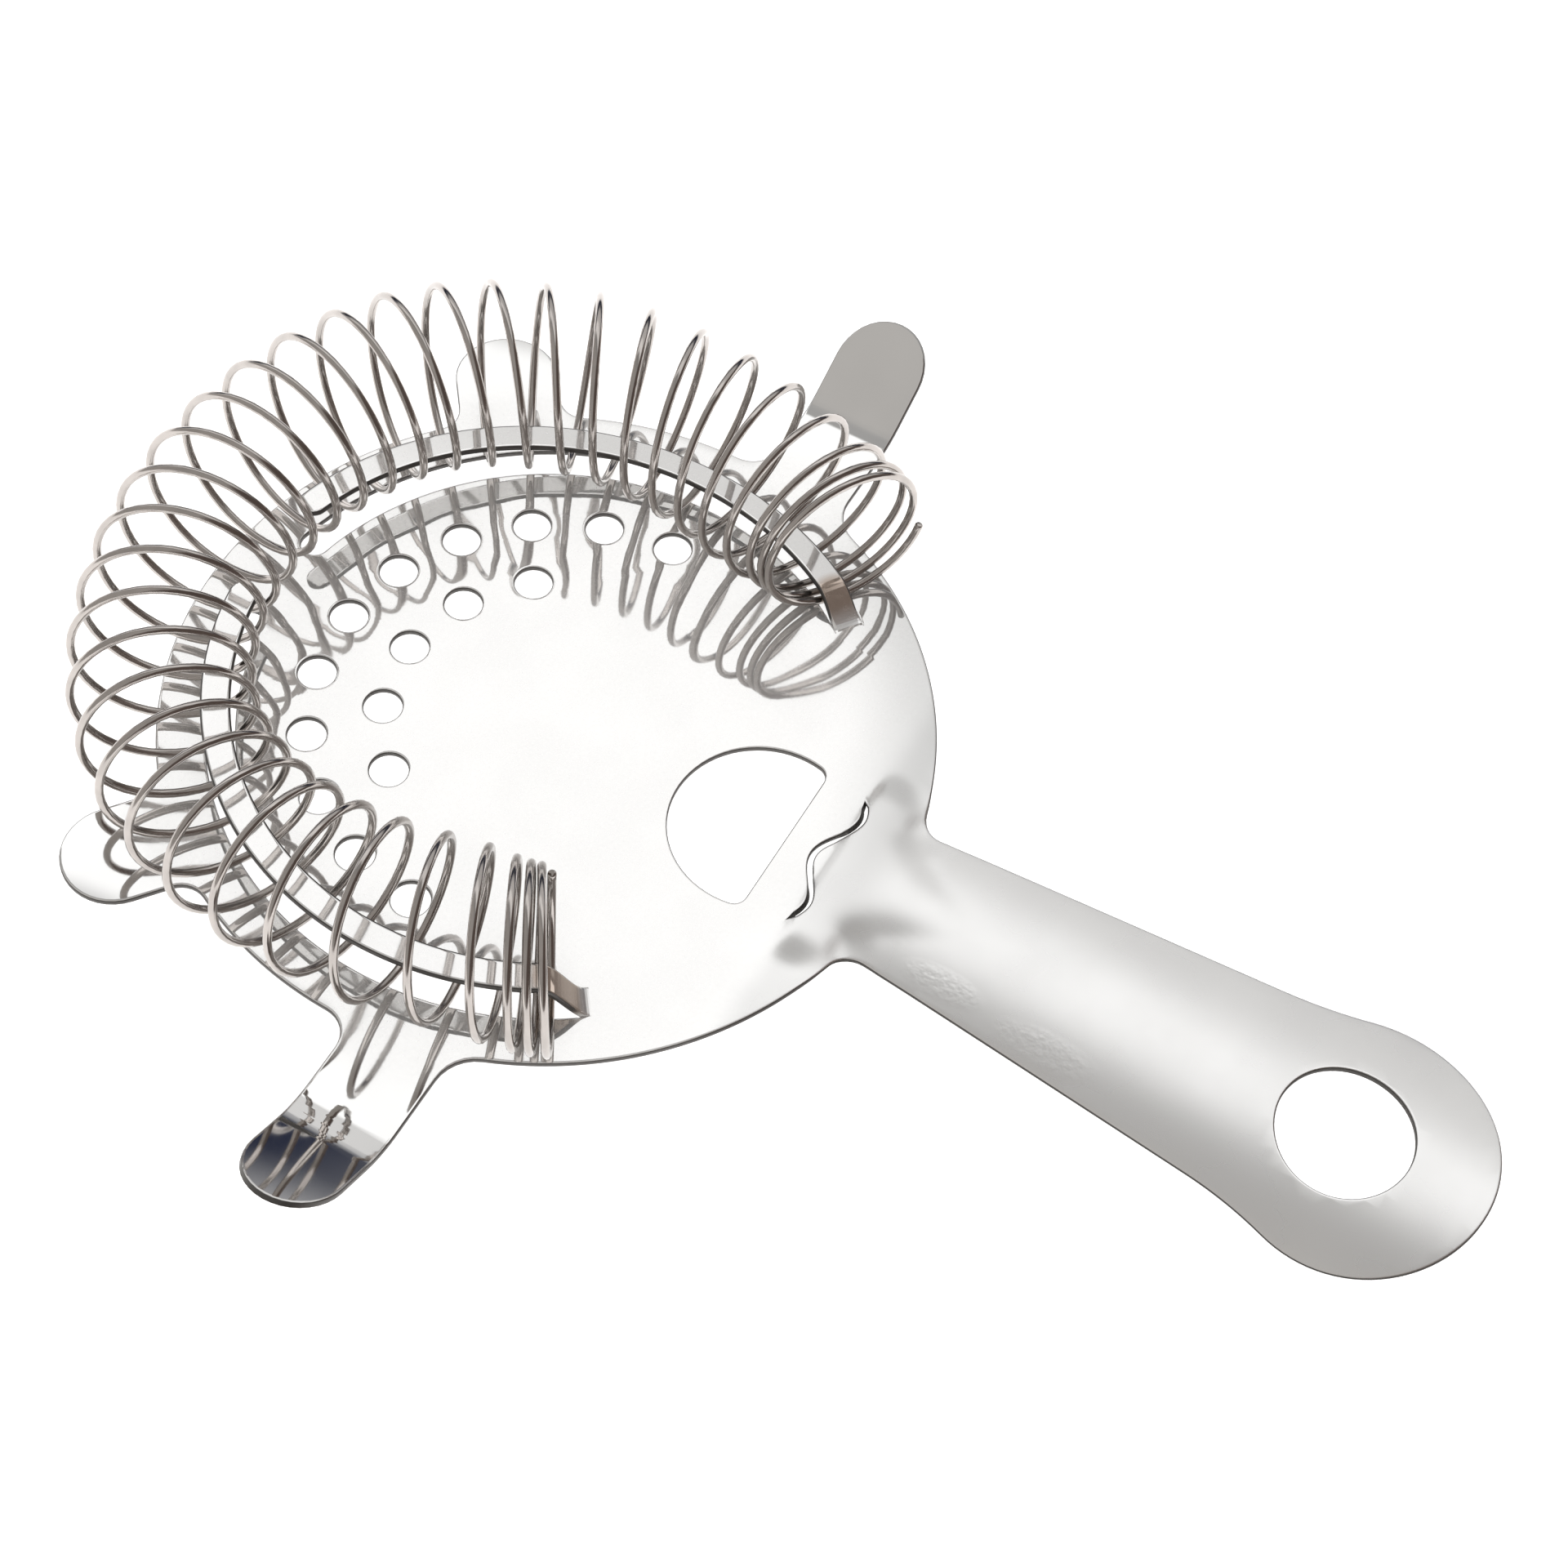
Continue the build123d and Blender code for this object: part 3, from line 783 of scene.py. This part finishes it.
def steel_material(finish):
    """Mirror polish on the disc, satin on the handle, with fine wipe marks and two rough patches."""
    material = bpy.data.materials.new("polished_steel")
    material.use_nodes = True
    n = Nodes(material.node_tree)
    where = n.add("ShaderNodeTexCoord").outputs["Object"]
    axes = n.add("ShaderNodeSeparateXYZ", Vector=where)
    x, y = axes.outputs["X"], axes.outputs["Y"]
    satin = n.step(x, *SATIN_X)
    cloud = n.noise(where, 90.0, 3.0)
    fine = n.noise(where, 1400.0, 3.0, 0.6)
    smear = n.math("MULTIPLY", n.step(cloud, 0.35, 0.75), 0.03)
    polish = n.math("ADD", smear, finish.polish_roughness)
    brushed = n.math("ADD", n.math("MULTIPLY", cloud, 0.06), finish.satin_roughness - 0.03)
    rough = n.math("ADD", n.math("MULTIPLY", satin, n.math("SUBTRACT", brushed, polish)), polish)
    tint = n.mix(n.step(cloud, 0.3, 0.7), rgba(finish.steel), rgba(finish.steel, 0.965))
    # two patches of orange peel on the near side of the handle
    patch = None
    for patch_x, patch_y, wide, tall in PATCHES:
        along = n.math("POWER", n.math("DIVIDE", n.math("SUBTRACT", x, patch_x), wide), 2.0)
        across = n.math("POWER", n.math("DIVIDE", n.math("SUBTRACT", y, patch_y), tall), 2.0)
        here = n.step(n.math("ADD", along, across), 1.0, 0.1)
        patch = here if patch is None else n.math("MAXIMUM", patch, here)
    peel = n.noise(where, 1500.0, 1.0)
    bump = n.add("ShaderNodeBump", Strength=0.35, Distance=0.00006)
    relief = n.math("ADD", n.math("MULTIPLY", peel, patch),
                    n.math("MULTIPLY", n.math("MULTIPLY", fine, satin), 0.05))
    n.put(bump.inputs["Height"], relief)
    reach = n.math("SQRT", n.math("ADD", n.math("POWER", x, 2.0), n.math("POWER", y, 2.0)))
    # painted shade: the disc's colour darkens towards its rim on the handle's far side
    rim_shade = n.math("MULTIPLY", n.step(reach, *RIM_SHADE_REACH), n.step(x, *RIM_SHADE_X))
    rim_shade = n.math("MULTIPLY", n.math("MULTIPLY", rim_shade, n.step(y, *RIM_SHADE_Y)), n.step(x, *RIM_SHADE_END_X))
    tint = n.mix(rim_shade, tint, rgba(finish.steel, 0.70))
    # painted reflection: the bends at the fingers' roots are coloured brown to stand for the brown
    # reflection they show
    far_y = n.math("ABSOLUTE", y)
    root = polar(FINGER_MID * MM, (FINGER_ROOT + FINGER_START) / 2)
    from_x = n.math("POWER", n.math("SUBTRACT", x, root.x), 2.0)
    from_y = n.math("POWER", n.math("SUBTRACT", far_y, root.y), 2.0)
    bend = n.step(n.math("SQRT", n.math("ADD", from_x, from_y)), *BEND_REFLECTION_REACH)
    bend = n.math("MULTIPLY", bend, n.step(axes.outputs["Z"], *BEND_REFLECTION_Z))
    tint = n.mix(bend, tint, rgba(finish.bend))
    # the sheared edges are dark and rough; the dark is partly the dull cut steel and partly painted shade
    # along the edge walls and their rounding
    edge = n.add("ShaderNodeAttribute", {"attribute_name": "sheared_shade"}).outputs["Fac"]
    edge = n.step(edge, 0.25, 0.65)
    tint = n.mix(edge, tint, rgba(finish.sheared_shade))
    rough = n.math("ADD", rough, n.math("MULTIPLY", edge, 0.35))
    # a worn film of fine scratches veils the middle of the disc
    veil = n.math("MULTIPLY", n.step(reach, *VEIL_REACH), n.math("SUBTRACT", 1.0, satin))
    veil = n.math("MULTIPLY", veil, n.math("ADD", n.math("MULTIPLY", fine, VEIL), VEIL))
    shader = n.add("ShaderNodeBsdfPrincipled")
    n.put(shader.inputs["Metallic"], n.math("SUBTRACT", 1.0, veil))
    n.put(shader.inputs["Base Color"], tint)
    n.put(shader.inputs["Roughness"], rough)
    n.put(shader.inputs["Normal"], bump.outputs[0])
    n.add("ShaderNodeOutputMaterial", Surface=shader.outputs[0])
    return material


def wire_material(finish):
    """Bright drawn wire with faint drawing marks."""
    material = bpy.data.materials.new("spring_wire")
    material.use_nodes = True
    n = Nodes(material.node_tree)
    where = n.add("ShaderNodeTexCoord").outputs["Object"]
    cloud = n.noise(where, 260.0, 3.0)
    fine = n.noise(where, 2600.0, 2.0)
    shader = n.add("ShaderNodeBsdfPrincipled", Metallic=1.0)
    tint = n.mix(n.step(cloud, 0.3, 0.7), rgba(finish.wire), rgba(finish.wire, 0.86))
    rough = n.math("ADD", n.math("MULTIPLY", fine, 0.10), finish.wire_roughness - 0.05)
    n.put(shader.inputs["Base Color"], tint)
    n.put(shader.inputs["Roughness"], rough)
    bump = n.add("ShaderNodeBump", Strength=0.1, Distance=0.00002)
    n.put(bump.inputs["Height"], fine)
    n.put(shader.inputs["Normal"], bump.outputs[0])
    n.add("ShaderNodeOutputMaterial", Surface=shader.outputs[0])
    return material


FLOOR_GLOW = 0.55


def floor_material(studio):
    """A pale floor that glows a little, so that no shadow falls on it."""
    material = bpy.data.materials.new("pale_floor")
    material.use_nodes = True
    n = Nodes(material.node_tree)
    shader = n.add("ShaderNodeBsdfPrincipled", Roughness=0.9)
    n.put(shader.inputs["Base Color"], rgba(studio.floor))
    n.put(shader.inputs["Emission Color"], rgba(studio.floor))
    n.put(shader.inputs["Emission Strength"], FLOOR_GLOW)
    n.add("ShaderNodeOutputMaterial", Surface=shader.outputs[0])
    return material


# ------------------------------------------------------------------ the studio
# what the steel mirrors; a tilt is a direction's far side over its height
ROOM_NEAR, ROOM_OVER, ROOM_FAR = (0.42, 0.405, 0.39), (0.33, 0.325, 0.32), (0.62, 0.615, 0.61)
ROOM_LOW, ROOM_SIDE, CARD = (0.012, 0.016, 0.036), (0.12, 0.095, 0.085), (1.0, 1.0, 1.0)
OVER_TILT, FAR_TILT = (-0.10, 0.18), (0.50, 0.70)
CARD_FROM_TILT, CARD_TO_TILT = (0.29, 0.37), (0.88, 0.77)
LOW_Z, LOW_Y, SIDE_X = (0.42, 0.20), (0.0, 0.35), (0.26, 0.50)
ROOM_STRENGTH = 1.25


def studio_world():
    """A white card across the far side, greys round it, a dark room low behind and a brown side."""
    world = bpy.data.worlds.new("studio")
    world.use_nodes = True
    n = Nodes(world.node_tree)
    way = n.add("ShaderNodeTexCoord").outputs["Generated"]
    axes = n.add("ShaderNodeSeparateXYZ", Vector=way)
    x, y, z = axes.outputs["X"], axes.outputs["Y"], axes.outputs["Z"]
    tilt = n.math("DIVIDE", y, n.math("MAXIMUM", z, 0.05))
    base = n.mix(n.step(tilt, *OVER_TILT), rgba(ROOM_NEAR), rgba(ROOM_OVER))
    card = n.math("MULTIPLY", n.step(tilt, *CARD_FROM_TILT), n.step(tilt, *CARD_TO_TILT))
    base = n.mix(n.step(tilt, *FAR_TILT), base, rgba(ROOM_FAR))
    base = n.mix(card, base, rgba(CARD))
    low = n.math("MULTIPLY", n.step(z, *LOW_Z), n.step(y, *LOW_Y))
    base = n.mix(low, base, rgba(ROOM_LOW))
    base = n.mix(n.step(x, *SIDE_X), base, rgba(ROOM_SIDE))
    lit = n.add("ShaderNodeBackground", Color=base, Strength=ROOM_STRENGTH)
    plain = n.add("ShaderNodeBackground", Color=rgba(CARD), Strength=1.0)
    rays = n.add("ShaderNodeLightPath").outputs["Is Camera Ray"]
    both = n.add("ShaderNodeMixShader", Fac=rays, _1=lit.outputs[0], _2=plain.outputs[0])
    n.add("ShaderNodeOutputWorld", Surface=both.outputs[0])
    bpy.context.scene.world = world


LAMP_AIM, LAMP_SIZE = Vector((0.03, 0, 0)), 0.9
LAMPS = (("key", (-0.35, 0.55, 0.95), 7.0), ("fill", (0.45, -0.55, 0.8), 5.0))


def soft_light(name, place, watts):
    """A broad lamp that lights the floor and rounds the forms, and isn't mirrored in the steel."""
    lamp = bpy.data.lights.new(name, "AREA")
    lamp.shape = "SQUARE"
    lamp.size = LAMP_SIZE
    lamp.energy = watts
    light = bpy.data.objects.new(name, lamp)
    light.location = place
    light.rotation_euler = (LAMP_AIM - Vector(place)).to_track_quat("-Z", "Y").to_euler()
    light.visible_glossy = False
    bpy.context.scene.collection.objects.link(light)


CAMERA_AIM = Vector((0.027633, 0.006344, 0.0008))
CAMERA_LENS, CAMERA_SENSOR, CAMERA_NEAR = 72.43, 36, 0.01
FLOOR_RADIUS, FLOOR_SIDES, FLOOR_X, FLOOR_GAP = 1.4, 96, 0.03, 0.0001


def add_camera(studio):
    """A camera turned round its aim, raised and rolled."""
    az, el, roll = studio.azimuth, studio.elevation, studio.roll
    back = Vector((sin(az) * cos(el), -cos(az) * cos(el), sin(el)))
    right = Vector((cos(az), sin(az), 0))
    up = back.cross(right)
    rolled_right = right * cos(roll) + up * sin(roll)
    rolled_up = up * cos(roll) - right * sin(roll)
    camera_data = bpy.data.cameras.new("camera")
    camera_data.sensor_width = CAMERA_SENSOR
    camera_data.lens = CAMERA_LENS
    camera_data.clip_start = CAMERA_NEAR
    camera = bpy.data.objects.new("camera", camera_data)
    turn_to = Matrix((rolled_right, rolled_up, back)).transposed()
    camera.matrix_world = Matrix.Translation(CAMERA_AIM + back * studio.distance) @ turn_to.to_4x4()
    bpy.context.scene.collection.objects.link(camera)
    bpy.context.scene.camera = camera


class STRAINER_OT_studio(bpy.types.Operator):
    """Adds the pale floor, the soft lights, the room that the steel mirrors, and the camera"""
    bl_idname = "strainer.studio"
    bl_label = "Studio"

    def execute(self, context):
        studio = context.scene.strainer_studio
        low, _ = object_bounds()
        bm = bmesh.new()
        bmesh.ops.create_circle(bm, cap_ends=True, segments=FLOOR_SIDES, radius=FLOOR_RADIUS,
                                matrix=Matrix.Translation((FLOOR_X, 0, low.z - FLOOR_GAP)))
        mesh = bpy.data.meshes.new("floor")
        bm.to_mesh(mesh)
        bm.free()
        floor = bpy.data.objects.new("floor", mesh)
        mesh.materials.append(floor_material(studio))
        context.scene.collection.objects.link(floor)
        floor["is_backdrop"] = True
        studio_world()
        for name, place, watts in LAMPS:
            soft_light(name, place, watts)
        add_camera(studio)
        context.scene.view_settings.view_transform = "Standard"
        return {"FINISHED"}


class STRAINER_PT_panel(bpy.types.Panel):
    """Lists the strainer's sizes and finishes and the steps that build it"""
    bl_idname = "STRAINER_PT_panel"
    bl_label = "Hawthorne strainer"
    bl_space_type = "VIEW_3D"
    bl_region_type = "UI"
    bl_category = "Strainer"

    def draw(self, context):
        for group in GROUPS:
            box = self.layout.box()
            settings = getattr(context.scene, group)
            for name in settings.bl_rna.properties.keys():
                if name not in ("rna_type", "name"):
                    box.prop(settings, name)
            if group in STEPS:
                box.operator(STEPS[group])


STEPS = {"strainer_sheet": "strainer.sheet", "strainer_spring": "strainer.spring",
         "strainer_studio": "strainer.studio"}
GROUPS = {"strainer_sheet": StrainerSheetSizes, "strainer_spring": StrainerSpringSizes,
          "strainer_finish": StrainerFinish, "strainer_studio": StrainerStudio}
CLASSES = (*GROUPS.values(), STRAINER_OT_sheet, STRAINER_OT_spring, STRAINER_OT_studio,
           STRAINER_PT_panel)


def register():
    for cls in CLASSES:
        bpy.utils.register_class(cls)
    for name, cls in GROUPS.items():
        setattr(bpy.types.Scene, name, bpy.props.PointerProperty(type=cls))


def unregister():
    for name in GROUPS:
        delattr(bpy.types.Scene, name)
    for cls in reversed(CLASSES):
        bpy.utils.unregister_class(cls)


def main():
    register()
    bpy.ops.strainer.sheet()
    bpy.ops.strainer.spring()
    bpy.ops.strainer.studio()


if __name__ == "__main__":
    main()
